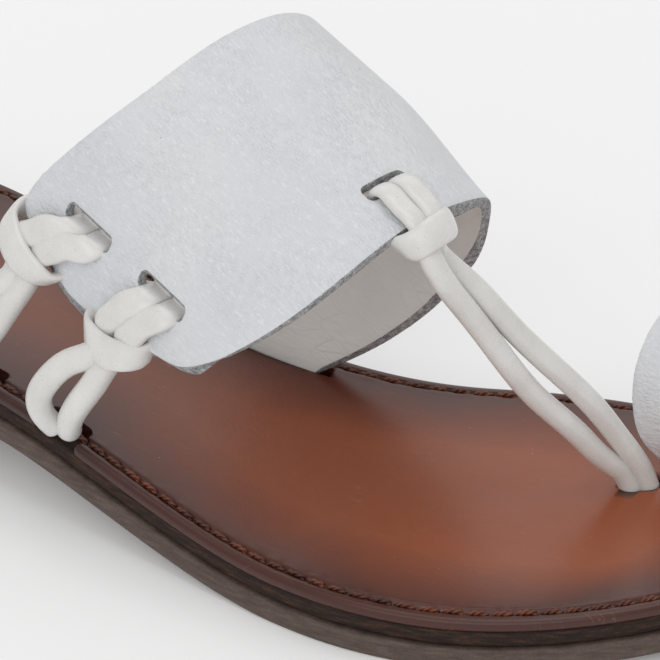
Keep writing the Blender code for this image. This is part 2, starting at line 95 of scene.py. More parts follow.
# Band
AXIS_SLOPE = math.radians(17.5)
AXIS_YAW = math.radians(14.0)
AXIS_START = np.array((142.0, 0.0, 14.0))
WALL = 2.4
CROWN = (6.5, 66.8)
MEDIAL_BULGE = (34.6, 31.0)
LATERAL_BULGE = (-33.0, 25.0)
MEDIAL_POWER = 2.7
LATERAL_POWER = 2.2
MEDIAL_LEG = 38.0
LEG_POWER = 1.25
FOOT_INSET = 5.0
TONGUE = 2.2
LATERAL_TUCK = 1.0
LATERAL_TUCK_RUN = 16.0
CREST_SAG = 4.2
SAG_RUN = 31.0
SAG_HALF = 17.0
SAG_START = -14.0
SAG_LENGTH = 32.0
STRIP = np.array((
    # run, front, back
    (-MEDIAL_LEG - TONGUE, -7.2, -38.6),
    (-MEDIAL_LEG, -6.2, -38.0),
    (-30.0, -1.0, -37.8),
    (-17.0, 4.2, -37.6),
    (-5.0, 6.9, -37.4),
    (8.0, 9.9, -37.2),
    (20.0, 11.4, -37.2),
    (32.0, 14.2, -37.2),
    (42.0, 17.0, -37.6),
    (53.0, 18.1, -37.7),
    (64.0, 18.5, -37.2),
    (76.0, 18.6, -37.4),
    (87.4, 16.7, -39.8),
    (96.0, 13.3, -42.4),
    (102.5, 9.7, -44.6),
    (107.5, 6.2, -45.8),
    (111.5, 2.5, -45.2),
    (114.6, -2.4, -41.0),
    (117.0, -12.5, -36.0),
    (118.8, -20.0, -33.0),
    (120.0, -26.0, -29.5),
))
# Slots: middle along the strip, middle along the axis, length, width, lengthwise direction
SLOTS = (
    (103.95, -9.4, 12.4, 3.9, "axis"),
    (103.95, -30.3, 12.2, 3.9, "axis"),
    (57.5, 8.15, 10.8, 3.9, "run"),
)
SLOT_CORNER = 1.3
# The sides of the slots that the cords turn over
TIE_SLOT_EDGE = 105.9
TOE_SLOT_EDGE = 10.1
# Steps between the strip's rows, and the row where its outer end starts
STRIP_STEPS = 12
OUTER_ROW = 14
# Slanted cuts: how far one face of the band reaches past the other, and where along the strip
END_RUN = 106.5
END_RAMP = 6.0
END_SLANT = 2.3
END_SLANT_BACK = 2.6
SLOT_SLANT = 2.0
SLOT_SLANT_RUN = (101.0, 102.9)
LEG_SLANT = 1.4
LEG_SLANT_RUN = 16.0

# Toe loop, stitches, cords and cuts in the footbed
LOOP_WALL = 1.6
STITCH_PITCH = 4.5
STITCH_INSET = 2.85
STITCH_STEPS = 15
STITCH_SIDES = 6
CORD_STEP = 0.55
CORD_SIDES = 28
WELD = 0.01
NOTCHES = ((114.8, -35.2), (93.5, -32.0))
POST = (210.9, 19.8)
CUT_LOW = FOOTBED_LOW - 2.0
CUT_HIGH = STACK + 3.0

# Stage
LIGHTS = (
    # name, place, width and height, power
    ("front", (0.40, -1.45, 1.15), (1.8, 1.4), 9.0),
    ("top", (0.0, 0.1, 1.8), (1.2, 1.0), 5.5),
    ("back", (-0.5, 1.2, 1.2), (1.8, 1.2), 4.0),
)
WORLD_LIGHT = 0.56
FLOOR_HALF = 6
FLOOR_GREY = 0.86
FLOOR_GLOW = 0.125


def smooth(value):
    value = np.clip(value, 0.0, 1.0)
    return value * value * (3 - 2 * value)


def rise(x):
    """Height of the sole's underside over the floor."""
    heel = HEEL_RISE * (1 - smooth((x - ARCH_START) / (ARCH_END - ARCH_START)))
    return heel + TOE_SPRING * smooth((x - SPRING_START) / (SPRING_END - SPRING_START))


def unit(vector):
    vector = np.asarray(vector, float)
    return vector / np.linalg.norm(vector, axis=-1, keepdims=True)


def lengths(line):
    """How far along a line each of its points lies."""
    return np.r_[0, np.cumsum(np.linalg.norm(np.diff(line, axis=0), axis=1))]


def spline(knots, values, at):
    """A natural cubic spline through the rows of values, read at the given places."""
    knots, values, at = (np.asarray(part, float) for part in (knots, values, at))
    step = np.diff(knots)
    count = len(knots)
    matrix = np.eye(count)
    right = np.zeros_like(values)
    for i in range(1, count - 1):
        matrix[i, i - 1:i + 2] = step[i - 1], 2 * (step[i - 1] + step[i]), step[i]
        right[i] = 6 * ((values[i + 1] - values[i]) / step[i] - (values[i] - values[i - 1]) / step[i - 1])
    bend = np.linalg.solve(matrix, right)
    i = np.clip(np.searchsorted(knots, at, side="right") - 1, 0, count - 2)
    a = (knots[i + 1] - at) / step[i]
    size = step[i]
    if values.ndim > 1:
        a, size = a[:, None], size[:, None]
    b = 1 - a
    return (a * values[i] + b * values[i + 1]
            + ((a ** 3 - a) * bend[i] + (b ** 3 - b) * bend[i + 1]) * size ** 2 / 6)


def ring_spline(knots, values, at):
    """The same over one closed turn of angles."""
    turn = 2 * math.pi
    knots, values = np.asarray(knots, float), np.asarray(values, float)
    around = np.concatenate([knots - turn, knots, knots + turn])
    return spline(around, np.tile(values, 3), np.mod(at, turn))


def outline(inset=0.0, stations=600):
    """The sole's edge as a loop from the heel round the outer side, the toe and back."""
    def angle(x):
        return math.acos(1 - 2 * x / LENGTH)
    knots, values = [0.0], [HEEL_TIP_Y]
    for x, medial, lateral in OUTLINE:
        knots.append(angle(x))
        values.append(lateral)
    knots.append(math.pi)
    values.append(TOE_TIP_Y)
    for x, medial, lateral in OUTLINE[::-1]:
        knots.append(2 * math.pi - angle(x))
        values.append(medial)
    angles = np.arange(stations) * 2 * math.pi / stations
    loop = np.column_stack([LENGTH / 2 * (1 - np.cos(angles)), ring_spline(knots, values, angles)])
    along = unit(np.roll(loop, -1, axis=0) - np.roll(loop, 1, axis=0))
    inward = np.column_stack([-along[:, 1], along[:, 0]])
    return loop + inward * np.reshape(inset, (-1, 1))


def spine(loop):
    partner = loop[(-np.arange(len(loop))) % len(loop)]
    x = np.clip((loop[:, 0] + partner[:, 0]) / 2, SPINE_HEEL, SPINE_TOE)
    half = len(loop) // 2
    order = np.argsort(loop[:half + 1, 0])
    sides = loop[:half + 1], partner[:half + 1]
    y = sum(np.interp(x, side[order, 0], side[order, 1]) for side in sides) / 2
    return np.column_stack([x, y])


EDGE = outline()
MEDIAL_SIDE = EDGE[len(EDGE) // 2:][::-1]


def medial_edge(x):
    return np.interp(x, MEDIAL_SIDE[:, 0], MEDIAL_SIDE[:, 1])


# Meshes


def to_part(points):
    """From millimetres behind the heel to the part's frame, in metres."""
    return (np.asarray(points, float) - (LENGTH / 2, CENTRE_Y, 0.0)) * MM


def placed(name, data):
    made = bpy.data.objects.new(name, data)
    scene.collection.objects.link(made)
    return made


def face_outwards(mesh, weld=0.0):
    """Turns all faces outwards, after points closer than the weld in millimetres are joined."""
    bm = bmesh.new()
    bm.from_mesh(mesh)
    if weld:
        bmesh.ops.remove_doubles(bm, verts=bm.verts, dist=weld * MM)
        bmesh.ops.dissolve_degenerate(bm, dist=weld * MM, edges=bm.edges)
    bmesh.ops.recalc_face_normals(bm, faces=bm.faces)
    bm.to_mesh(mesh)
    bm.free()


def make_mesh(name, points, faces, mats, kinds=None, layers=None, cad=()):
    """A piece of the shoe from points in millimetres. Kinds gives the material of each face,
    layers are named values for its points, and cad names the solid that it replaces."""
    mesh = bpy.data.meshes.new(name)
    mesh.from_pydata(to_part(points).tolist(), [], faces)
    for mat in mats:
        mesh.materials.append(mat)
    if kinds is not None:
        mesh.polygons.foreach_set("material_index", np.asarray(kinds, "i"))
    for layer, values in (layers or {}).items():
        kind, field = ("FLOAT", "value") if values.ndim == 1 else ("FLOAT_VECTOR", "vector")
        mesh.attributes.new(layer, kind, "POINT").data.foreach_set(field, values.ravel())
    face_outwards(mesh)
    mesh.shade_smooth()
    made = placed(name, mesh)
    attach(made, "root")
    if cad:
        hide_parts(*cad)
    return made


def ring_faces(rows, columns):
    """Faces between closed rings of points."""
    faces = []
    for row in range(rows - 1):
        a, b = row * columns, (row + 1) * columns
        for i in range(columns):
            j = (i + 1) % columns
            faces.append((a + i, a + j, b + j, b + i))
    return faces


def capped_faces(rows, columns):
    """The same, with the first and the last ring filled."""
    total = rows * columns
    return ring_faces(rows, columns) + [tuple(range(columns))[::-1], tuple(range(total - columns, total))]


def join(name, shells, mats, cad=()):
    """One piece from several closed shells, each with its points and faces."""
    faces, count = [], 0
    for places, sides in shells:
        faces += [tuple(i + count for i in face) for face in sides]
        count += len(places)
    return make_mesh(name, np.vstack([places for places, sides in shells]), faces, mats, cad=cad)


def ring_wave(seed, lobes, count):
    """Noise round a closed ring, from sines with whole numbers of lobes."""
    rng = np.random.default_rng(seed)
    turn = np.arange(count) * 2 * math.pi / count
    out = np.zeros(count)
    for power in lobes:
        for _ in range(3):
            out += np.sin(turn * round(power * rng.uniform(0.8, 1.25)) + rng.uniform(0, 6.3)) / len(lobes)
    return out


# Materials

def srgb(*values):
    out = []
    for value in values:
        value /= 255
        out.append(value / 12.92 if value <= 0.04045 else ((value + 0.055) / 1.055) ** 2.4)
    return tuple(out)


class Paint:
    """A material and its nodes. Sizes are in millimetres, one for all directions or three, in
    the piece's own space or along a layer of its points."""

    def __init__(self, name, layer=None):
        self.mat = bpy.data.materials.new(name)
        self.mat.use_nodes = True
        self.tree = self.mat.node_tree
        self.shader = self.tree.nodes["Principled BSDF"]
        self.layer = layer

    def put(self, socket, value):
        if isinstance(value, bpy.types.NodeSocket):
            self.tree.links.new(value, socket)
        else:
            socket.default_value = value

    def node(self, kind, *values, **named):
        """A node with its first inputs in order, then its other inputs and settings by name."""
        made = self.tree.nodes.new("ShaderNode" + kind)
        for key, value in named.items():
            if key in made.inputs:
                self.put(made.inputs[key], value)
            else:
                setattr(made, key, value)
        for socket, value in zip(made.inputs, values):
            self.put(socket, value)
        return made

    def place(self, size):
        size = np.broadcast_to(size, 3)
        if self.layer:
            source, scale = self.node("Attribute", attribute_name=self.layer).outputs["Vector"], 1.0 / size
        else:
            source, scale = self.node("TexCoord").outputs["Object"], 1000.0 / size
        return self.node("Mapping", Vector=source, Scale=tuple(scale)).outputs["Vector"]

    def noise(self, size, detail=3.0, roughness=0.55, distortion=0.0):
        made = self.node("TexNoise", Vector=self.place(size), Scale=1.0, Detail=detail,
                         Roughness=roughness, Distortion=distortion)
        return made.outputs["Fac"]

    def cells(self, place, feature="F1"):
        if not isinstance(place, bpy.types.NodeSocket):
            place = self.place(place)
        return self.node("TexVoronoi", feature=feature, Vector=place, Scale=1.0).outputs["Distance"]

    def shifted(self, size, value, amount):
        """Places moved sideways by a value."""
        return self.node("VectorMath", value, (amount, amount, 0.0), self.place(size),
                         operation="MULTIPLY_ADD").outputs[0]

    def maths(self, operation, a, b):
        return self.node("Math", a, b, operation=operation).outputs[0]

    def times(self, a, b):
        return self.maths("MULTIPLY", a, b)

    def ramp(self, value, *stops, ease=False):
        """Colours, as 0 to 255, or grey values at places from 0 to 1."""
        made = self.node("ValToRGB", value)
        elements = made.color_ramp.elements
        while len(elements) < len(stops):
            elements.new(0.5)
        for element, (position, colour) in zip(elements, stops):
            element.position = position
            element.color = (*(srgb(*colour) if np.ndim(colour) else (colour,) * 3), 1.0)
        if ease:
            made.color_ramp.interpolation = "EASE"
        return made.outputs["Color"]

    def dots(self, size, full, end):
        return self.ramp(self.cells(size), (0.0, 1.0), (full, 1.0), (end, 0.0))

    def mix(self, factor, a, b, blend="MIX"):
        made = self.node("Mix", data_type="RGBA", blend_type=blend)
        for value, name in ((factor, "Factor"), (a, "A"), (b, "B")):
            self.put(next(s for s in made.inputs if s.name == name and s.enabled), value)
        return next(s for s in made.outputs if s.enabled)

    def tint(self, colour, mask, amount, *towards):
        """Mixes a colour in where the mask is high."""
        return self.mix(self.times(mask, amount), colour, (*srgb(*towards), 1.0))

    def bumps(self, *layers):
        """Stacks bumps on the shader: (height value, depth in millimetres, strength)."""
        normal = None
        for height, depth, strength in layers:
            made = self.node("Bump", Strength=strength, Distance=depth * MM, Height=height)
            if normal:
                self.put(made.inputs["Normal"], normal)
            normal = made.outputs["Normal"]
        self.put(self.shader.inputs["Normal"], normal)

    def finish(self, colour, roughness, specular=0.5, coat=0.0, coat_roughness=0.03):
        named = {"Base Color": colour, "Roughness": roughness, "Specular IOR Level": specular,
                 "Coat Weight": coat, "Coat Roughness": coat_roughness}
        for name, value in named.items():
            self.put(self.shader.inputs[name], value)
        return self.mat


def white_leather():
    mat = Paint("white_leather", "flat")
    pebble = mat.shifted((0.75, 1.3, 1.0), mat.noise(3.0, 2.0), 1.2)
    patch = mat.ramp(mat.noise((16.0, 22.0, 16.0), 2.0), (0.38, 0.5), (0.62, 1.0))
    grain = mat.times(mat.ramp(mat.cells(pebble), (0.15, 1.0), (0.75, 0.0), ease=True), patch)
    crease = mat.cells(pebble, "DISTANCE_TO_EDGE")
    crease = mat.times(mat.ramp(crease, (0.0, 0.0), (0.16, 1.0), ease=True), patch)
    fine = mat.noise(0.35, 3.0, 0.6)
    swell = mat.noise((9.0, 14.0, 9.0), 2.0)
    mat.bumps((swell, 0.6, 0.35), (grain, 0.14, 0.7), (crease, 0.06, 0.6), (fine, 0.05, 0.6))
    colour = mat.ramp(mat.noise(30.0, 2.0), (0.3, (213, 215, 219)), (0.7, (221, 222, 224)))
    colour = mat.tint(colour, grain, 0.08, 190, 192, 197)
    # Painted highlights: pale stretched streaks on the grain stand in for its glints.
    painted_glint_dash = mat.ramp(mat.noise((0.5, 1.8, 0.5), 2.0, 0.5, 1.1), (0.59, 0.0), (0.64, 1.0))
    colour = mat.tint(colour, painted_glint_dash, 0.3, 244, 245, 247)
    colour = mat.tint(colour, mat.dots(9.0, 0.02, 0.028), 0.45, 120, 122, 128)
    return mat.finish(colour, mat.ramp(fine, (0.3, 0.36), (0.7, 0.50)), specular=0.45)


def raw_edge():
    """The leather's cut edge."""
    mat = Paint("raw_edge")
    fine = mat.noise(0.22, 4.0, 0.7)
    value = mat.maths("ADD", mat.times(fine, 0.65), mat.times(mat.noise(1.1, 3.0, 0.6), 0.35))
    mat.bumps((fine, 0.2, 0.7))
    return mat.finish(mat.ramp(value, (0.40, (96, 97, 100)), (0.5, (156, 157, 159)),
                                   (0.60, (220, 220, 221))), 0.85)


def flesh_side():
    """The leather's inner face, with faint cracks."""
    mat = Paint("flesh_side", "flat")
    fibre = mat.noise((1.0, 2.6, 1.0), 4.0, 0.6, 0.6)
    fold = mat.noise((2.4, 9.0, 2.4), 2.0, 0.5, 0.8)
    fold = mat.ramp(fold, (0.44, 0.0), (0.5, 1.0), (0.56, 0.0), ease=True)
    tone = mat.noise(14.0, 3.0)
    crack = mat.cells(mat.shifted((2.6, 5.5, 2.6), tone, 1.6), "DISTANCE_TO_EDGE")
    crack = mat.times(mat.ramp(crack, (0.0, 1.0), (0.07, 0.0), ease=True),
                        mat.ramp(tone, (0.47, 0.0), (0.58, 1.0)))
    mat.bumps((fold, 0.2, 0.2), (mat.maths("SUBTRACT", 1.0, crack), 0.15, 0.4), (fibre, 0.12, 0.4))
    colour = mat.ramp(tone, (0.3, (222, 221, 217)), (0.7, (233, 232, 229)))
    # The cracks are also tinted darker: painted shade inside them.
    return mat.finish(mat.tint(colour, crack, 0.10, 170, 163, 156), 0.6)


def white_cord():
    mat = Paint("white_cord")
    fine = mat.noise(0.5, 3.0, 0.6)
    swell = mat.noise(3.5, 2.0)
    wrinkle = mat.noise(1.6, 3.0, 0.5, 1.2)
    wrinkle = mat.ramp(wrinkle, (0.45, 0.0), (0.5, 1.0), (0.55, 0.0), ease=True)
    mat.bumps((swell, 0.35, 0.3), (wrinkle, 0.05, 0.12), (fine, 0.03, 0.35))
    colour = mat.ramp(mat.noise(6.0, 3.0), (0.3, (219, 217, 213)), (0.7, (229, 228, 225)))
    colour = mat.tint(colour, mat.dots(3.2, 0.03, 0.05), 0.5, 150, 135, 115)
    return mat.finish(colour, mat.ramp(fine, (0.3, 0.24), (0.7, 0.36)), coat=0.35,
                        coat_roughness=0.16)


def brown_leather():
    """Brown leather: warm in the middle and darker towards the edge. The darkening towards the heel is
    painted shade from the band over it.
    """
    mat = Paint("brown_leather")
    edge = mat.node("Attribute", attribute_name="edge").outputs["Fac"]
    cloud = mat.noise(26.0, 4.0, 0.55, 0.5)
    depth = mat.maths("ADD", edge, mat.times(mat.maths("SUBTRACT", cloud, 0.5), 0.5))
    colour = mat.ramp(depth, (0.0, (66, 26, 15)), (0.20, (82, 34, 18)), (0.48, (122, 56, 26)),
                        (0.8, (152, 75, 34)))
    # Painted shade: a multiplier that darkens the footbed towards the heel, where the band shades it.
    along = mat.node("SeparateXYZ", mat.place(100.0)).outputs[0]
    painted_heel_shade = mat.ramp(mat.maths("ADD", along, 0.5), (0.25, 0.58), (0.85, 1.0), ease=True)
    colour = mat.mix(1.0, colour, painted_heel_shade, "MULTIPLY")
    colour = mat.tint(colour, mat.noise(2.2, 4.0, 0.65), 0.25, 70, 34, 24)
    colour = mat.tint(colour, mat.dots(4.4, 0.02, 0.03), 0.6, 190, 160, 135)
    grain = mat.cells((0.55, 0.8, 0.55))
    fine = mat.noise(0.3, 3.0, 0.6)
    swell = mat.noise(12.0, 2.0)
    scratch = mat.noise((26.0, 1.3, 26.0), 2.0, 0.5, 0.3)
    scratch = mat.times(mat.ramp(scratch, (0.495, 0.0), (0.5, 1.0), (0.505, 0.0)),
                          mat.ramp(mat.noise(9.0, 2.0), (0.52, 0.0), (0.64, 1.0)))
    colour = mat.tint(colour, scratch, 0.22, 196, 150, 122)
    mat.bumps((swell, 0.5, 0.25), (grain, 0.05, 0.3), (fine, 0.03, 0.3), (scratch, 0.03, 0.25))
    return mat.finish(colour, mat.ramp(cloud, (0.35, 0.30), (0.65, 0.40)), specular=0.45, coat=0.15,
                        coat_roughness=0.22)


def sole_edge(name, dark, mid, light, roughness, depth):
    """Rough, stained edge of a sole layer with streaks along it."""
    mat = Paint(name)
    streak = mat.noise((5.0, 5.0, 0.8), 4.0, 0.65)
    fine = mat.noise((0.5, 0.5, 0.35), 4.0, 0.7)
    value = mat.maths("ADD", mat.times(streak, 0.6), mat.times(fine, 0.4))
    mat.bumps((streak, depth, 0.5), (fine, depth * 0.5, 0.6))
    return mat.finish(mat.ramp(value, (0.34, dark), (0.5, mid), (0.68, light)),
                        mat.ramp(fine, (0.3, roughness - 0.1), (0.7, roughness + 0.1)), specular=0.3)


def thread():
    mat = Paint("thread")
    mat.bumps((mat.noise(0.3), 0.06, 0.5))
    tone = mat.noise(7.0, 2.0)
    return mat.finish(mat.ramp(tone, (0.35, (66, 32, 20)), (0.65, (116, 60, 35))), 0.42)


# Sole pieces

OUTSOLE_PROFILE = (
    # inset, height
    (0.9, 0.0), (0.3, 0.12), (0.05, 0.5), (-0.05, 1.6), (0.0, 3.0), (0.12, 3.9), (0.45, 4.3),
    (1.0, OUTSOLE_THICK),
)
MIDSOLE_PROFILE = (
    (1.4, MIDSOLE_LOW), (0.95, MIDSOLE_LOW + 0.2), (0.75, MIDSOLE_LOW + 0.7), (0.7, MIDSOLE_LOW + 1.8),
    (0.8, MIDSOLE_TOP - 0.6), (1.0, MIDSOLE_TOP - 0.15), (1.6, MIDSOLE_TOP),
)
HEEL_PROFILE = (
    # two fine grooves mark its three lifts
    (0.9, 0.0), (0.3, 0.1), (0.0, 0.5), (0.0, 3.6), (0.18, 3.8), (0.0, 4.0),
    (0.0, 7.6), (0.18, 7.8), (0.0, 8.0), (0.0, 11.2), (0.4, 11.7),
)
FOOTBED_SHARES = (0.03, 0.07, 0.12, 0.18, 0.26, 0.35, 0.45, 0.56, 0.68, 0.80, 0.91, 1.0)


def sole_rings(profile, stations=600):
    """Rings round the sole: (inset, height over the underside's rise) for each ring."""
    rings = []
    for inset, height in profile:
        plan = outline(inset, stations)
        rings.append(np.column_stack([plan, rise(plan[:, 0]) + height]))
    return rings


def drawn_in(ring, height, shares):
    """Rings from one ring in to the sole's spine."""
    plan = ring[:, :2]
    centre = spine(plan)
    out = []
    for share in shares:
        inner = plan + (centre - plan) * share
        out.append(np.column_stack([inner, rise(inner[:, 0]) + height]))
    return out


def make_shell(name, rings, mats, layers, cad):
    """A piece from rings, of which the first and the last lie on the spine and are welded."""
    faces = ring_faces(len(rings), len(rings[0]))
    made = make_mesh(name, np.vstack(rings), faces, mats, layers=layers, cad=cad)
    face_outwards(made.data, WELD)
    made.data.shade_smooth()
    return made


def make_layer(name, profile, mats, cad):
    rings = sole_rings(profile)
    rings = drawn_in(rings[0], profile[0][1], (1.0, 0.5)) + rings
    rings += drawn_in(rings[-1], profile[-1][1], (0.5, 1.0))
    return make_shell(name, rings, mats, None, cad)


def make_heel(mats):
    loop = outline(0.6)
    back = [tuple(p) for p in np.roll(loop, len(loop) // 2, axis=0) if p[0] < HEEL_END]
    breast = []
    for share in np.linspace(0, 1, 25):
        y = back[-1][1] + (back[0][1] - back[-1][1]) * share
        breast.append((HEEL_END + 2.0 - BREAST_DEPTH * (1 - (2 * share - 1) ** 2), y))
    plan = evenly(np.array(back + breast), 1.0)
    inward = inward_normals(plan, False)
    rings = [np.column_stack([plan + inward * inset, np.full(len(plan), z)]) for inset, z in HEEL_PROFILE]
    made = make_mesh("heel_stack", np.vstack(rings), capped_faces(len(rings), len(plan)), mats, cad=("heel",))
    made.data.set_sharp_from_angle(angle=math.radians(50))
    return made


def make_footbed(mats):
    """The footbed with its rolled rim, the stitch channel and the channel's frayed inner lip."""
    count = 720
    lip = 0.14 * ring_wave(3, (60, 140, 230), count)
    fray = 0.10 * ring_wave(4, (90, 190, 300), count)
    profile = (
        # inset, height
        (0.7, FOOTBED_LOW),
        (0.1, FOOTBED_LOW + 0.05),
        (-0.1, FOOTBED_LOW + 0.5),
        (-0.05, STACK - 1.1),
        (0.12, STACK - 0.7),
        (0.55, STACK - 0.36),
        (1.1, STACK - 0.2),
        (1.7, STACK - 0.16),
        (2.05 + fray * 0.3, STACK - 0.24),
        (2.25 + fray * 0.4, STACK - 0.6),
        (2.6, STACK - 0.85),
        (3.1, STACK - 0.85 + lip * 0.3),
        (3.5 + fray, STACK - 0.55 + lip),
        (3.75 + fray, STACK - 0.02 + lip * 0.8),
        (4.1 + fray, STACK + 0.1 + lip * 0.7),
        (4.7 + fray * 0.4, STACK + 0.05 + lip * 0.3),
        (5.6, STACK),
    )
    rings = sole_rings(profile, count)
    edge = [np.full(count, np.mean(inset)) for inset, height in profile]
    plan = rings[-1][:, :2]
    centre = spine(plan)
    width = np.linalg.norm(centre - plan, axis=1)
    for share in FOOTBED_SHARES:
        inner = plan + (centre - plan) * share
        lowered = DISH * smooth((width * share + 4.0) / DISH_WIDTH) - DISH * smooth(4.0 / DISH_WIDTH)
        rings.append(np.column_stack([inner, rise(inner[:, 0]) + STACK - lowered]))
        edge.append(5.6 + width * share)
    rings = drawn_in(rings[0], FOOTBED_LOW, (1.0, 0.6, 0.25)) + rings
    edge = [np.full(count, 3.0)] * 3 + edge
    layers = {"edge": np.clip(np.concatenate(edge) / 30.0, 0, 1)}
    return make_shell("footbed_top", rings, mats, layers, ("footbed",))


def cutter(name, plan):
    """A hidden upright prism from a plan, for a cut through the footbed."""
    rings = [(x, y, rise(x) + height) for height in (CUT_LOW, CUT_HIGH) for x, y in plan]
    mesh = bpy.data.meshes.new(name)
    mesh.from_pydata(to_part(rings).tolist(), [], capped_faces(2, len(plan)))
    face_outwards(mesh)
    return placed(name, mesh)


def cut(target, cutters):
    """Cuts the prisms out of the piece and bakes the result into its mesh."""
    for other in cutters:
        modifier = target.modifiers.new(other.name, "BOOLEAN")
        modifier.operation = "DIFFERENCE"
        modifier.solver = "EXACT"
        modifier.object = other
    graph = bpy.context.evaluated_depsgraph_get()
    baked = bpy.data.meshes.new_from_object(target.evaluated_get(graph), depsgraph=graph)
    target.modifiers.clear()
    target.data = baked
    for other in cutters:
        bpy.data.objects.remove(other, do_unlink=True)


def rounded_plan(centre, along, half_length, half_width, radius, steps=5):
    along = unit(along)
    side = np.array((-along[1], along[0]))
    plan = []
    for sx, sy, start in ((1, 1, 0), (-1, 1, 90), (-1, -1, 180), (1, -1, 270)):
        for step in range(steps + 1):
            a = math.radians(start + 90 * step / steps)
            px = sx * (half_length - radius) + radius * math.cos(a)
            py = sy * (half_width - radius) + radius * math.sin(a)
            plan.append(np.array(centre) + along * px + side * py)
    return plan


def line_plan(line, half_width):
    line = np.array(line, float)
    along = unit(np.gradient(line, axis=0))
    side = np.column_stack([-along[:, 1], along[:, 0]]) * half_width
    return list(np.vstack([line + side, (line - side)[::-1]]))


# Band

AXIS_FORWARD = np.array((math.cos(AXIS_SLOPE) * math.cos(AXIS_YAW),
                         -math.cos(AXIS_SLOPE) * math.sin(AXIS_YAW), -math.sin(AXIS_SLOPE)))
AXIS_SIDE = np.array((math.sin(AXIS_YAW), math.cos(AXIS_YAW), 0.0))
AXIS_UP = np.array((math.sin(AXIS_SLOPE) * math.cos(AXIS_YAW),
                    -math.sin(AXIS_SLOPE) * math.sin(AXIS_YAW), math.cos(AXIS_SLOPE)))


def arch_profile():
    turns = np.linspace(0, math.pi / 2, 200)
    points = []
    halves = (MEDIAL_BULGE, MEDIAL_POWER, 1), (LATERAL_BULGE, LATERAL_POWER, -1)
    for (bulge_e, bulge_n), power, order in halves:
        e = CROWN[0] + (bulge_e - CROWN[0]) * np.cos(turns) ** (2 / power)
        n = bulge_n + (CROWN[1] - bulge_n) * np.sin(turns) ** (2 / power)
        points.append(np.column_stack([e, n])[::order])
    drop = np.arange(1, 31)
    tail = np.column_stack([LATERAL_BULGE[0] + LATERAL_TUCK * (drop / LATERAL_TUCK_RUN) ** 2,
                            LATERAL_BULGE[1] - drop])
    points = np.vstack([points[0], points[1][1:], tail])
    length = lengths(points)
    return length, points


ARCH_LENGTH, ARCH_POINTS = arch_profile()


def from_axis(along, e, n):
    along, e, n = (np.asarray(part, float)[..., None] for part in (along, e, n))
    return AXIS_START + AXIS_FORWARD * along + AXIS_SIDE * e + AXIS_UP * n


def foot_table():
    rows = []
    for along in np.linspace(-50, 12, 125):
        e = n = 0.0
        for _ in range(12):
            x, y, z = from_axis(along, e, n)
            n += (rise(x) + STACK - z) / AXIS_UP[2]
            e += (medial_edge(x) - FOOT_INSET - y) / AXIS_SIDE[1]
        rows.append((along, e, n))
    return np.array(rows)


FOOT = foot_table()


def foot_at(along):
    return (np.interp(along, FOOT[:, 0], FOOT[:, k]) for k in (1, 2))


def band_point(run, along):
    """Points on the band's outer surface."""
    run, along = np.broadcast_arrays(np.asarray(run, float), np.asarray(along, float))
    sag = CREST_SAG * np.exp(-((run - SAG_RUN) / SAG_HALF) ** 2) * smooth((along - SAG_START) / SAG_LENGTH)
    upper = from_axis(along, np.interp(run, ARCH_LENGTH, ARCH_POINTS[:, 0]) - 0.2 * sag,
                      np.interp(run, ARCH_LENGTH, ARCH_POINTS[:, 1]) - sag)
    foot_e, foot_n = foot_at(along)
    share = 1 + run / MEDIAL_LEG
    bent = foot_e + (MEDIAL_BULGE[0] - foot_e) * np.sin(math.pi / 2 * np.clip(share, 0, 1) ** LEG_POWER)
    n = np.where(share > 0, foot_n + (MEDIAL_BULGE[1] - foot_n) * share, foot_n + share * MEDIAL_LEG)
    lower = from_axis(along, bent, n)
    return np.where((run >= 0)[..., None], upper, lower)


def band_normal(run, along):
    step = 0.6
    down = band_point(run + step, along) - band_point(run - step, along)
    forward = band_point(run, np.asarray(along) + step) - band_point(run, np.asarray(along) - step)
    return unit(np.cross(down, forward))


def lifted(run, along, lift):
    return band_point(run, along) + band_normal(run, along) * np.reshape(lift, (-1, 1))


def evenly(loop, spacing):
    """A closed loop of points at an even spacing."""
    loop = np.vstack([loop, loop[:1]])
    length = lengths(loop)
    count = int(round(length[-1] / spacing))
    at = np.arange(count) * length[-1] / count
    return np.column_stack([np.interp(at, length, loop[:, k]) for k in range(2)])


STRIP_ROWS = spline(np.arange(len(STRIP)), STRIP, np.arange((len(STRIP) - 1) * STRIP_STEPS + 1) / STRIP_STEPS)


def strip_outline():
    return evenly(np.vstack([STRIP_ROWS[:, (0, 1)], STRIP_ROWS[::-1, (0, 2)]]), 0.8)


def outer_end(along):
    """How far the strip reaches at one place along the axis, at its rounded outer end."""
    rows = STRIP_ROWS[OUTER_ROW * STRIP_STEPS:]
    if along > rows[-1][1]:
        return float(np.interp(-along, -rows[:, 1], rows[:, 0]))
    return float(np.interp(along, rows[:, 2], rows[:, 0]))


def slot_outline(run, along, length, width, direction):
    plan = np.array(rounded_plan((0, 0), (1, 0), length / 2, width / 2, SLOT_CORNER, 6))
    if direction == "axis":
        plan = plan[:, ::-1]
    return evenly(plan + (run, along), 0.45)


def inward_normals(loop, hole):
    """Flat directions from a closed loop into the leather, or into the solid."""
    along = unit(np.roll(loop, -1, axis=0) - np.roll(loop, 1, axis=0))
    area = np.sum(loop[:, 0] * np.roll(loop[:, 1], -1) - np.roll(loop[:, 0], -1) * loop[:, 1])
    normal = np.column_stack([-along[:, 1], along[:, 0]])
    if (area < 0) != hole:
        normal = -normal
    return normal


def inside(points, loop):
    """Which points lie inside a closed loop."""
    x, y = points[:, 0][:, None], points[:, 1][:, None]
    x1, y1 = loop[:, 0][None], loop[:, 1][None]
    x2, y2 = np.roll(loop[:, 0], -1)[None], np.roll(loop[:, 1], -1)[None]
    crossing = ((y1 > y) != (y2 > y)) & (x < (x2 - x1) * (y - y1) / (y2 - y1 + 1e-12) + x1)
    return crossing.sum(axis=1) % 2 == 1


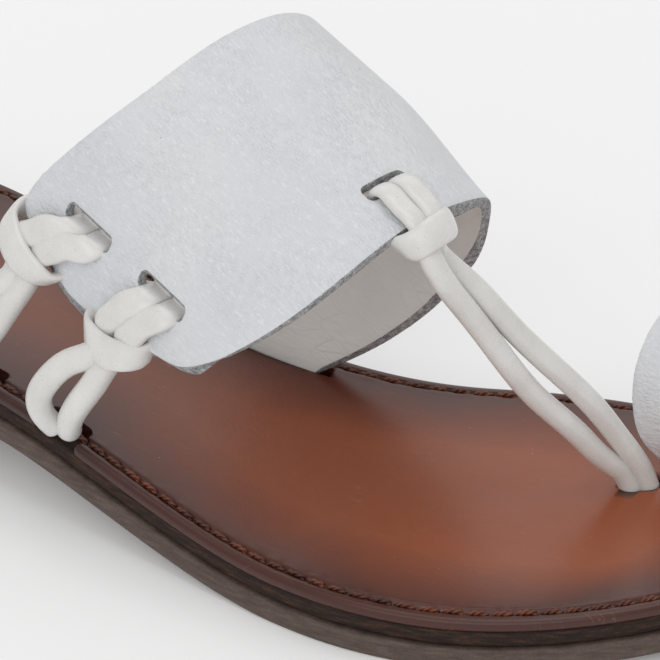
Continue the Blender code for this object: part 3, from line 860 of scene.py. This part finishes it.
def nearest(points, loop):
    out = np.empty(len(points))
    for start in range(0, len(points), 2000):
        part = points[start:start + 2000]
        out[start:start + 2000] = np.linalg.norm(part[:, None] - loop[None], axis=2).min(axis=1)
    return out


def square_cut(loop):
    return np.zeros(len(loop))


def sheet_mesh(surface, border, holes, wall, spacing, corner, rough, slant=square_cut):
    """A leather sheet cut to a border with holes: both faces and its rounded cut edge.

    surface(flat points, depth) gives the points in space. slant(loop) says how far the inner
    face reaches past the outer one at the cut, or the outer past the inner if it is negative.
    Returns points, faces, the material of each face (0 outer, 1 cut edge, 2 inner) and the
    flat place of each point."""
    loops = [(border, inward_normals(border, False))] + [(hole, inward_normals(hole, True)) for hole in holes]
    inset = [loop + normal * corner for loop, normal in loops]

    def in_sheet(places):
        keep = inside(places, inset[0])
        for hole in inset[1:]:
            keep &= ~inside(places, hole)
        return keep
    low, high = border.min(axis=0), border.max(axis=0)
    rows = np.arange(low[1], high[1], spacing * 0.87)
    columns = np.arange(low[0], high[0], spacing)
    grid = np.array([(x + (i % 2) * spacing / 2, y) for i, y in enumerate(rows) for x in columns])
    grid = grid[in_sheet(grid)]
    for loop in inset:
        grid = grid[nearest(grid, loop) > spacing * 0.55]
    plan, edges = [], []
    for loop in inset:
        start = len(plan)
        plan += list(loop)
        edges += [(start + i, start + (i + 1) % len(loop)) for i in range(len(loop))]
    plan = np.array(plan + list(grid))
    made = delaunay_2d_cdt([Vector(point) for point in plan], edges, [], 0, 1e-6, True)
    vertices = np.array([tuple(point) for point in made[0]])
    triangles = np.array(made[2])
    triangles = triangles[in_sheet(vertices[triangles].mean(axis=1))]
    order = np.full(len(plan), -1)
    for index, group in enumerate(made[3]):
        if group:
            order[group[0]] = index
    upper, lower = vertices.copy(), vertices.copy()
    rims, start = [], 0
    for loop, normal in loops:
        rims.append(order[start:start + len(loop)])
        start += len(loop)
        past = slant(loop)[:, None]
        upper[rims[-1]] += normal * np.minimum(past, 0)
        lower[rims[-1]] -= normal * np.maximum(past, 0)
    profile = [(0.3 * corner, 0.3 * corner), (0.0, corner)]
    profile += [(0.0, corner + (wall - 2 * corner) * share) for share in (0.25, 0.5, 0.75)]
    profile += [(0.0, wall - corner), (0.3 * corner, wall - 0.3 * corner)]
    count = len(vertices)
    points, flats = [surface(upper, 0.0), surface(lower, wall)], [upper, lower]
    faces = [tuple(face) for face in triangles] + [tuple(count + face[::-1]) for face in triangles]
    kinds = [0] * len(triangles) + [2] * len(triangles)
    total = 2 * count
    for (loop, normal), rim in zip(loops, rims):
        size = len(loop)
        past = slant(loop)
        rows = [rim]
        for index, (inward, depth) in enumerate(profile):
            shake = rough * RNG.normal(0, 1, size) if 1 <= index <= 5 else 0.0
            reach = np.where(past > 0, past * depth / wall, -past * (1 - depth / wall))
            flats.append(loop + normal * (inward + shake - reach)[:, None])
            points.append(surface(flats[-1], depth))
            rows.append(total + np.arange(size))
            total += size
        rows.append(rim + count)
        for level, (above, below) in enumerate(zip(rows, rows[1:])):
            for i in range(size):
                j = (i + 1) % size
                faces.append((above[i], above[j], below[j], below[i]))
                kinds.append(0 if level == 0 else 2 if level == len(profile) else 1)
    flat = np.vstack(flats)
    return np.vstack(points), faces, kinds, np.column_stack([flat, np.zeros(len(flat))])


def band_surface(flat, depth):
    """The band's faces, a little wavy and thicker at the front of the crest."""
    run, along = flat[:, 0], flat[:, 1]
    crest = np.exp(-((run - 45.0) / 12.0) ** 2) * smooth((along - 11.0) / 7.0)
    lift = 0.22 * np.sin(run / 13.0 + 1.0) * np.sin(along / 11.0) - depth * (1 + 0.6 * crest)
    return lifted(run, along, lift)


def band_slant(loop):
    """The outer end, the slots and the inner leg are cut at a slant, which shows from the front."""
    run, along = loop[:, 0], loop[:, 1]
    end = smooth((run - END_RUN) / END_RAMP) * (END_SLANT + END_SLANT_BACK * smooth((-along - 6.0) / 8.0))
    end = end * smooth((along + 46.0) / 7.0)
    in_slots = (run > SLOT_SLANT_RUN[0]) & (run < SLOT_SLANT_RUN[1]) & (np.abs(along + 20.0) < 18.0)
    leg = np.where(along > -20.0, -LEG_SLANT * smooth((LEG_SLANT_RUN - run) / LEG_SLANT_RUN), 0.0)
    return np.where(run > END_RUN, end, np.where(in_slots, SLOT_SLANT, 0.0) + leg)


def make_band(mats):
    holes = [slot_outline(*row) for row in SLOTS]
    points, faces, kinds, flat = sheet_mesh(band_surface, strip_outline(), holes, WALL, 1.1, 0.22, 0.035,
                                            band_slant)
    return make_mesh("band_leather", points, faces, mats, kinds, {"flat": flat}, ("band",))


# Cords

def tube(sections):
    """A closed tube along a smooth path. Each section: place, half width, half thickness, the
    direction of its width and, unless it is 2.6, how square it is (2 is an oval)."""
    rows = []
    for section in sections:
        point, wide, thick, hint, power = (*section, 2.6)[:5]
        rows.append((*point, wide, thick, *hint, power))
    rows = np.array(rows, float)
    chord = lengths(rows[:, :3])
    at = np.linspace(0, chord[-1], max(int(chord[-1] / CORD_STEP), 4) + 1)
    centre = spline(chord, rows, at)[:, :3]
    tangent = unit(np.gradient(centre, axis=0))

    def across(wide):
        return unit(wide - tangent * np.sum(wide * tangent, axis=1)[:, None])
    half_wide, half_thick, *wide, power = (np.interp(at, chord, rows[:, k]) for k in range(3, 9))
    wide = across(np.column_stack(wide))
    for _ in range(12):
        wide[1:-1] = unit((wide[:-2] + wide[2:] + 2 * wide[1:-1]) / 4)
        wide = across(wide)
    thick = np.cross(tangent, wide)
    a = 2 * math.pi * (np.arange(CORD_SIDES) + 0.5) / CORD_SIDES
    loops = []
    for i in range(len(at)):
        c, s = (np.sign(side) * np.abs(side) ** (2 / power[i]) for side in (np.cos(a), np.sin(a)))
        loops.append(centre[i] + np.outer(c * half_wide[i], wide[i]) + np.outer(s * half_thick[i], thick[i]))
    ends = []
    for end, inward in ((0, 1), (-1, -1)):
        back = tangent[end] * inward * half_thick[end]
        spread = loops[end] - centre[end]
        ends.append([centre[end] + spread * 0.86 - back * 0.22, centre[end] - back * 0.35 + spread * 0.5])
    loops = ends[0][::-1] + loops + ends[1]
    return np.vstack(loops), capped_faces(len(loops), CORD_SIDES)


def over(run, along, lift):
    """One place over the band's outer surface, or inside it if the lift is negative."""
    return lifted(run, along, lift)[0]


def local_frame(origin, across, beyond, normal):
    axes = np.array([across, beyond, normal])
    return lambda a, b, c: np.asarray(origin) + np.array((a, b, c)) @ axes


def collar(at, rows):
    """The cord's turn from inside the band round its edge and across the two strands."""
    return tube([(at(*place), wide, thick, at(*hint) - at(0, 0, 0), power)
                 for *place, wide, thick, hint, power in rows])


TIE_COLLAR = (
    # a, b, c, half width, half thickness, direction of its width, squareness
    (-3.0, -6.5, -3.9, 2.5, 0.9, (1, 0.0, 0), 2.6),
    (-4.8, -2.6, -3.8, 2.7, 1.0, (0.9, 0.5, 0), 2.5),
    (-7.0, 0.6, -2.0, 2.9, 1.1, (0.4, 1.0, 0), 2.4),
    (-7.0, 2.2, 0.8, 3.1, 1.1, (0.1, 1, 0.0), 2.4),
    (-4.2, 2.9, 2.9, 3.3, 1.05, (0, 1, 0.15), 2.4),
    (0.0, 3.1, 3.5, 3.4, 1.05, (0, 1, 0.2), 2.4),
    (4.4, 2.2, 2.9, 3.1, 1.05, (0, 1, 0.15), 2.4),
    (7.2, 1.4, 0.7, 2.7, 1.05, (-0.1, 1, 0.0), 2.4),
    (7.0, -0.2, -2.0, 2.6, 1.0, (-0.4, 1, 0), 2.4),
    (4.8, -2.8, -3.8, 2.6, 1.0, (-0.9, 0.5, 0), 2.5),
    (3.0, -6.5, -3.9, 2.5, 0.9, (-1, 0, 0), 2.6),
)
TOE_COLLAR = (
    (-2.4, -6.0, -3.7, 2.2, 0.9, (1, 0, 0), 2.6),
    (-4.0, -2.0, -3.9, 2.4, 1.0, (0.9, 0.5, 0), 2.5),
    (-5.2, 1.4, -3.0, 2.7, 1.1, (0.3, 0.9, -0.5), 2.4),
    (-4.7, 3.7, -1.0, 2.9, 1.15, (0, 0.8, -0.6), 2.4),
    (-1.8, 4.6, 1.0, 3.0, 1.15, (0, 0.75, -0.65), 2.4),
    (1.8, 4.5, 1.2, 3.0, 1.15, (0, 0.75, -0.65), 2.4),
    (4.6, 3.2, -0.3, 2.8, 1.1, (0, 0.8, -0.6), 2.4),
    (5.0, 1.0, -2.4, 2.5, 1.05, (-0.3, 0.9, -0.4), 2.4),
    (4.0, -2.0, -3.9, 2.4, 1.0, (-0.9, 0.5, 0), 2.5),
    (2.4, -6.0, -3.7, 2.2, 0.9, (-1, 0, 0), 2.6),
)
TIE_FRONT_CORDS = (
    ((122.9, -31.5, 38.1), (117.9, -33.5, 34.9), (114.2, -35.0, 31.0),
     (111.9, -35.6, 25.7), (112.4, -34.8, 22.0), (113.6, -33.2, 19.2)),
    ((125.9, -31.3, 37.2), (123.8, -33.0, 33.1), (120.9, -34.3, 28.0),
     (118.0, -34.2, 22.5), (116.8, -33.0, 19.2)),
)
TIE_REAR_CORDS = (
    ((100.1, -26.0, 44.5), (96.2, -28.5, 41.2), (93.6, -30.8, 38.0),
     (90.9, -32.0, 32.5), (90.0, -31.8, 27.2), (90.8, -30.6, 21.2)),
    ((102.9, -26.0, 44.2), (100.4, -28.0, 39.2), (97.9, -30.0, 34.1),
     (95.0, -31.0, 28.7), (93.6, -30.4, 21.2)),
)
TOE_CORDS = (
    ((182.1, -11.0, 67.4), (187.2, -5.0, 53.3), (192.6, 0.5, 41.2), (196.4, 5.0, 32.8),
     (202.0, 10.5, 24.1), (206.0, 15.0, 16.9), (208.4, 18.0, 12.8), (209.6, 18.8, 9.6)),
    ((180.1, -5.5, 65.0), (184.5, -2.5, 58.7), (191.8, 3.5, 47.0), (197.7, 8.5, 38.1),
     (203.5, 13.8, 28.9), (207.4, 17.6, 20.8), (211.0, 20.2, 13.4), (212.2, 20.9, 9.6)),
)


def make_tie(name, slot, place, cords, mats, cad):
    """A doubled cord: from its slot over the band, under the collar at the band's edge and down
    to the sole, and back inside the band from the slot to the collar's ends."""
    end = outer_end(place)
    origin = band_point(end, place)
    tangent = unit(band_point(outer_end(place + 4), place + 4) - band_point(outer_end(place - 4), place - 4))
    normal = band_normal(end, place)
    beyond = unit(np.cross(tangent, normal))
    if np.dot(beyond, origin - band_point(end - 4, place)) < 0:
        beyond = -beyond
    at = local_frame(origin, tangent, beyond, normal)
    near, span, drift = TIE_SLOT_EDGE, end - TIE_SLOT_EDGE, place - slot
    shells = []
    for side, cord in zip((-1, 1), cords):
        shift = side * 2.75
        rows = [
            (over(near - 0.3, slot + shift * 0.94, -4.6), 2.5, 0.9, AXIS_FORWARD),
            (over(near - 0.1, slot + shift * 0.96, -1.5), 2.55, 0.9, AXIS_FORWARD),
            (over(near + 0.5, slot + shift, 0.25), 2.65, 1.0, AXIS_FORWARD),
            (over(near + 2.0, slot + shift + drift * 0.16, 1.3), 2.75, 1.15, tangent),
        ]
        for share, lift in ((0.35, 1.75), (0.65, 1.7), (0.92, 1.45)):
            along = slot + drift * (0.12 + 0.88 * share) + shift
            rows.append((over(near + span * share, along, lift), 2.75, 1.2, tangent))
        rows.append((at(side * 2.6, 2.2, 0.9), 2.5, 1.3, tangent, 2.3))
        for index, point in enumerate(cord):
            r = 2.62 if index < len(cord) - 2 else 2.5
            rows.append((point, r, r * 0.93, tangent, 2.1))
        shells.append(tube(rows))
    shells.append(collar(at, TIE_COLLAR))
    for side in (-1, 1):
        shells.append(tube([
            (over(near - 2.6, slot + side * 2.6, -3.2), 2.5, 0.9, AXIS_FORWARD),
            (over(near + 0.2, slot + side * 2.6, -3.9), 2.5, 0.95, AXIS_FORWARD),
            (at(side * 3.0, -5.0, -3.9), 2.5, 0.95, tangent),
            (at(side * 3.6, -2.0, -3.9), 2.5, 0.95, tangent),
        ]))
    return join(name, shells, mats, cad)


def make_toe_strap(mats):
    """A doubled cord like the ties, from the front slot under its collar down to the post."""
    end, place, near, slot = 58.5, 18.3, TOE_SLOT_EDGE, SLOTS[2][0]
    origin = band_point(end, place)
    across = unit(band_point(end - 4, 18.2) - band_point(end + 4, 18.5))
    normal = band_normal(end, place)
    at = local_frame(origin, across, unit(AXIS_FORWARD - normal * np.dot(AXIS_FORWARD, normal)), normal)
    slot_line = unit(band_point(53.0, 8.0) - band_point(62.0, 8.0))
    shells = []
    for side, cord in zip((-1, 1), TOE_CORDS):
        run = slot - side * 2.3
        rows = [
            (over(run, near - 1.9, -4.4), 2.2, 0.95, slot_line),
            (over(run, near - 1.9, -1.6), 2.2, 0.95, slot_line),
            (over(run, near - 1.1, 0.5), 2.25, 1.0, slot_line),
            (over(run, near + 1.0, 1.4), 2.3, 1.1, slot_line),
        ]
        for share in (0.35, 0.7):
            along = near + (place - near) * share
            rows.append((over(run + share * 0.9, along, 1.6), 2.3, 1.15, across))
        rows.append((at(side * 2.1, 0.8, 1.2), 2.2, 1.3, across, 2.4))
        rows.append((at(side * 1.8 - 0.3, 3.6, -1.2), 2.1, 1.6, across, 2.2))
        for index, point in enumerate(cord):
            wide, thick = (2.3, 2.15) if index < 5 else (2.2, 2.05)
            rows.append((point, wide, thick, across, 2.1))
        shells.append(tube(rows))
    shells.append(collar(at, TOE_COLLAR))
    for side in (-1, 1):
        run = slot - side * 2.2
        shells.append(tube([
            (over(run, near - 2.6, -3.2), 2.1, 0.9, slot_line),
            (over(run, near + 0.2, -3.8), 2.1, 0.9, slot_line),
            (at(side * 2.4, -5.0, -3.8), 2.1, 0.9, across),
            (at(side * 3.0, -2.0, -3.9), 2.1, 0.9, across),
        ]))
    return join("toe_strap_cords", shells, mats, ("toe_strap",))


# Toe loop

TOE_LOOP = np.array((
    # y, z, heel side x, toe side x
    (25.0, 10.2, 215.4, 224.0),
    (24.8, 13.0, 214.6, 224.2),
    (22.6, 18.0, 211.0, 225.0),
    (21.2, 25.6, 208.4, 225.6),
    (22.9, 32.6, 207.4, 225.4),
    (27.2, 38.2, 207.4, 225.0),
    (33.4, 40.6, 207.8, 224.6),
    (39.2, 37.8, 208.6, 224.4),
    (42.8, 31.6, 209.4, 224.0),
    (43.8, 23.4, 210.2, 223.4),
    (42.4, 15.4, 211.2, 222.6),
    (41.6, 12.4, 212.0, 222.0),
    (41.4, 10.0, 212.4, 221.8),
))
TOE_LOOP_LENGTH = lengths(TOE_LOOP[:, :2])


def toe_loop_surface(flat, depth):
    run, x = flat[:, 0], flat[:, 1]
    ahead, back = (spline(TOE_LOOP_LENGTH, TOE_LOOP, np.clip(run + step, 0, TOE_LOOP_LENGTH[-1]))
                   for step in (0.3, -0.3))
    tangent = unit((ahead - back)[:, :2])
    out = np.column_stack([-tangent[:, 1], tangent[:, 0]])
    middle = spline(TOE_LOOP_LENGTH, TOE_LOOP, run)[:, :2]
    return np.column_stack([x, middle + out * (LOOP_WALL / 2 - depth)])


def make_toe_loop(mats):
    fine = np.linspace(0, TOE_LOOP_LENGTH[-1], 200)
    rows = spline(TOE_LOOP_LENGTH, TOE_LOOP, fine)
    border = np.vstack([np.column_stack([fine, rows[:, 3]]), np.column_stack([fine, rows[:, 2]])[::-1]])
    border = evenly(border, 0.7)
    points, faces, kinds, flat = sheet_mesh(toe_loop_surface, border, [], LOOP_WALL, 0.9, 0.2, 0.03)
    return make_mesh("toe_loop_leather", points, faces, mats, kinds, {"flat": flat}, ("toe_loop",))


# Stitches

def make_stitches(mats):
    """Two-ply twisted stitches along the channel in the footbed."""
    loop = outline(STITCH_INSET, 3000)
    closed = np.vstack([loop, loop[:1]])
    length = lengths(closed)
    count = int(round(length[-1] / STITCH_PITCH))
    share = np.linspace(0, 1, STITCH_STEPS)
    taper = 0.34 * np.clip(np.sin(math.pi * (share * 0.96 + 0.02)) * 2.2, 0.45, 1.0)
    a = 2 * math.pi * np.arange(STITCH_SIDES) / STITCH_SIDES
    faces = capped_faces(STITCH_STEPS, STITCH_SIDES)
    shells = []
    for index in range(count):
        start, end = ((index + part) * length[-1] / count for part in (0.06, 0.94))
        at = np.linspace(start, end, STITCH_STEPS)
        plan = np.column_stack([np.interp(at, length, closed[:, k]) for k in range(2)])
        jitter = RNG.uniform(-0.12, 0.12)
        height = STACK - 0.75 + 0.62 * np.sin(math.pi * share) ** 0.7 + RNG.uniform(-0.08, 0.08)
        centre = np.column_stack([plan, rise(plan[:, 0]) + height])
        along = unit(np.gradient(centre, axis=0))
        side = unit(np.cross(along, (0.0, 0.0, 1.0)))
        up = np.cross(side, along)
        centre = centre + side * jitter
        for ply in (0, 1):
            turn = share * 2 * math.pi * 1.5 + ply * math.pi + index
            path = centre + side * (0.26 * np.cos(turn))[:, None] + up * (0.26 * np.sin(turn))[:, None]
            rings = [path[i] + taper[i] * (np.outer(np.cos(a), side[i]) + np.outer(np.sin(a), up[i]))
                     for i in range(STITCH_STEPS)]
            shells.append((np.vstack(rings), faces))
    return join("stitches", shells, mats)


# Cuts through the footbed for the band, the ties, the toe post and the toe loop

def footbed_cutters():
    foot_line = []
    for along in np.linspace(STRIP[0][1] + 4.0, STRIP[0][2] - 1.6, 24):
        e, n = foot_at(along)
        x, y, z = from_axis(along, e, n - TONGUE / 2)
        foot_line.append((x, y - WALL / 2))
    plans = {"slit_band": line_plan(foot_line, WALL / 2 + 0.25)}
    for index, (x, y) in enumerate(NOTCHES):
        ahead, back = (np.interp(x + step, OUTLINE[:, 0], OUTLINE[:, 2]) for step in (4, -4))
        plans[f"notch_{index}"] = rounded_plan((x, y), (1.0, (ahead - back) / 8), 5.2, 6.2, 1.8)
    plans["hole_post"] = rounded_plan(POST, (2.6, 2.1), 4.0, 2.35, 2.3)
    for index, (y, z, heel_side, toe_side) in enumerate(TOE_LOOP[[0, -1]]):
        plans[f"slit_loop_{index}"] = rounded_plan(((heel_side + toe_side) / 2, y), (1, 0),
                                                   (toe_side - heel_side) / 2 + 0.4, LOOP_WALL / 2 + 0.3, 0.6)
    return [cutter(name, plan) for name, plan in plans.items()]


# Build

leather = white_leather()
edge_mat = raw_edge()
flesh = flesh_side()
cord_mat = white_cord()
brown = brown_leather()
board = sole_edge("dark_board", (22, 15, 13), (42, 28, 22), (86, 56, 38), 0.7, 0.35)
outsole_mat = sole_edge("outsole_edge", (70, 57, 51), (90, 75, 68), (110, 94, 86), 0.5, 0.14)
heel_mat = sole_edge("heel_stack", (26, 18, 15), (44, 30, 25), (66, 48, 40), 0.5, 0.15)
thread_mat = thread()

make_layer("outsole_leather", OUTSOLE_PROFILE, [outsole_mat], ("outsole",))
make_layer("midsole_board", MIDSOLE_PROFILE, [board], ("midsole",))
make_heel([heel_mat])
cut(make_footbed([brown]), footbed_cutters())
make_band([leather, edge_mat, flesh])
make_tie("tie_front_cords", SLOTS[0][1], -15.6, TIE_FRONT_CORDS, [cord_mat], ("tie_front",))
make_tie("tie_rear_cords", SLOTS[1][1], -40.0, TIE_REAR_CORDS, [cord_mat], ("tie_rear",))
make_toe_strap([cord_mat])
make_toe_loop([leather, edge_mat, flesh])
make_stitches([thread_mat])

# Floor, light and camera

def make_floor():
    mesh = bpy.data.meshes.new("floor")
    corners = [(x * FLOOR_HALF, y * FLOOR_HALF, 0) for x, y in ((-1, -1), (1, -1), (1, 1), (-1, 1))]
    mesh.from_pydata(corners, [], [(0, 1, 2, 3)])
    made = placed("floor", mesh)
    mat = Paint("floor_pale")
    mat.shader.inputs["Emission Color"].default_value = (1.0, 1.0, 1.0, 1.0)
    mat.shader.inputs["Emission Strength"].default_value = FLOOR_GLOW
    mesh.materials.append(mat.finish((FLOOR_GREY, FLOOR_GREY, FLOOR_GREY, 1.0), 0.9, specular=0.0))


def area_light(name, at, size, power):
    """A soft light that faces the middle of the shoe."""
    data = bpy.data.lights.new(name, "AREA")
    data.shape = "RECTANGLE"
    data.size, data.size_y = size
    data.energy = power
    made = placed(name, data)
    made.location = at
    made.rotation_mode = "QUATERNION"
    made.rotation_quaternion = (-Vector(at)).to_track_quat("-Z", "Y")


make_floor()
world = bpy.data.worlds.new("studio")
scene.world = world
world.use_nodes = True
background = world.node_tree.nodes["Background"]
background.inputs["Color"].default_value = (1.0, 1.0, 1.0, 1.0)
background.inputs["Strength"].default_value = WORLD_LIGHT
for light in LIGHTS:
    area_light(*light)

camera_data = bpy.data.cameras.new("camera")
camera_data.sensor_width = 36.0
camera_data.lens = LENS
camera_data.clip_start, camera_data.clip_end = 0.05, 30.0
camera = placed("camera", camera_data)
turn = Matrix((CAMERA_RIGHT, CAMERA_UP, CAMERA_BACK)).transposed().to_4x4()
camera.matrix_world = Matrix.Translation(Vector(to_part(CAMERA_AT))) @ turn
scene.camera = camera
scene.view_settings.view_transform = "Standard"
scene.view_settings.look = "None"
